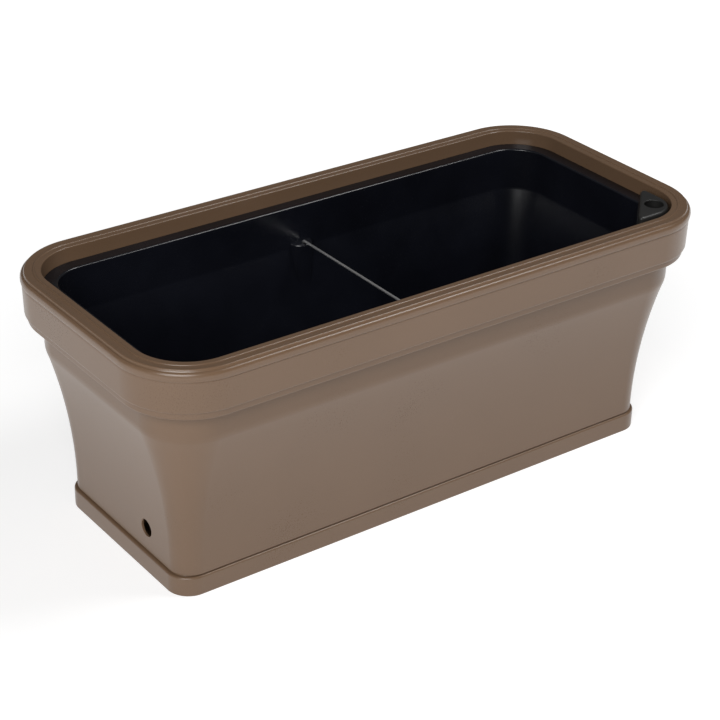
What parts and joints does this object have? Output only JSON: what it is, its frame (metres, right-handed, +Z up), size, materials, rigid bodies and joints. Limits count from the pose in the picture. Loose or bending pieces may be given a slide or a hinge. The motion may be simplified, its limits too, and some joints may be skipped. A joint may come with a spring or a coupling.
{
  "type": "self watering planter",
  "caption": "Long flared planter with a rolled rim, a lift-out black liner with perforated wicking cups, a corner fill port, a wire tie rod and an overflow hole.",
  "frame": {"origin": "centre of the underside, on the ground", "axes": "+X along the length towards the end with the fill port, +Y away from the long side with the fill port, +Z up"},
  "size_m": [0.762, 0.3536, 0.3024],
  "materials": {
    "shell_plastic": "satin moulded polypropylene, taupe",
    "liner_plastic": "satin moulded polypropylene, black",
    "port_plastic": "satin moulded polypropylene, black",
    "cup_plastic": "matt moulded polypropylene, black",
    "rod_steel": "bright drawn wire",
    "plug_rubber": "matt rubber"
  },
  "bodies": {
    "shell": {"outer_shell": "shell_plastic"},
    "liner": {"liner": "liner_plastic"},
    "fill_port": {"fill_port": "port_plastic"},
    "tie_rod": {"tie_rod": "rod_steel"},
    "wick_cup_1": {"wick_cup_1": "cup_plastic"},
    "wick_cup_2": {"wick_cup_2": "cup_plastic"},
    "wick_cup_3": {"wick_cup_3": "cup_plastic"},
    "wick_cup_4": {"wick_cup_4": "cup_plastic"},
    "drain_plug": {"drain_plug": "plug_rubber"}
  },
  "joints": [
    {"name": "liner_lift", "type": "slide", "parent": "shell", "child": "liner", "axis": [0, 0, 1], "range_m": [0, 0.32]},
    {"name": "fill_port_lift", "type": "slide", "parent": "liner", "child": "fill_port", "axis": [0, 0, 1], "range_m": [0, 0.06]},
    {"name": "tie_rod_lift", "type": "slide", "parent": "liner", "child": "tie_rod", "axis": [0, 0, 1], "range_m": [0, 0.1]},
    {"name": "wick_cup_1_lift", "type": "slide", "parent": "liner", "child": "wick_cup_1", "axis": [0, 0, 1], "range_m": [0, 0.1]},
    {"name": "wick_cup_2_lift", "type": "slide", "parent": "liner", "child": "wick_cup_2", "axis": [0, 0, 1], "range_m": [0, 0.1]},
    {"name": "wick_cup_3_lift", "type": "slide", "parent": "liner", "child": "wick_cup_3", "axis": [0, 0, 1], "range_m": [0, 0.1]},
    {"name": "wick_cup_4_lift", "type": "slide", "parent": "liner", "child": "wick_cup_4", "axis": [0, 0, 1], "range_m": [0, 0.1]},
    {"name": "drain_plug_pull", "type": "slide", "parent": "shell", "child": "drain_plug", "axis": [0, 0, 1], "range_m": [0, 0.02]}
  ]
}
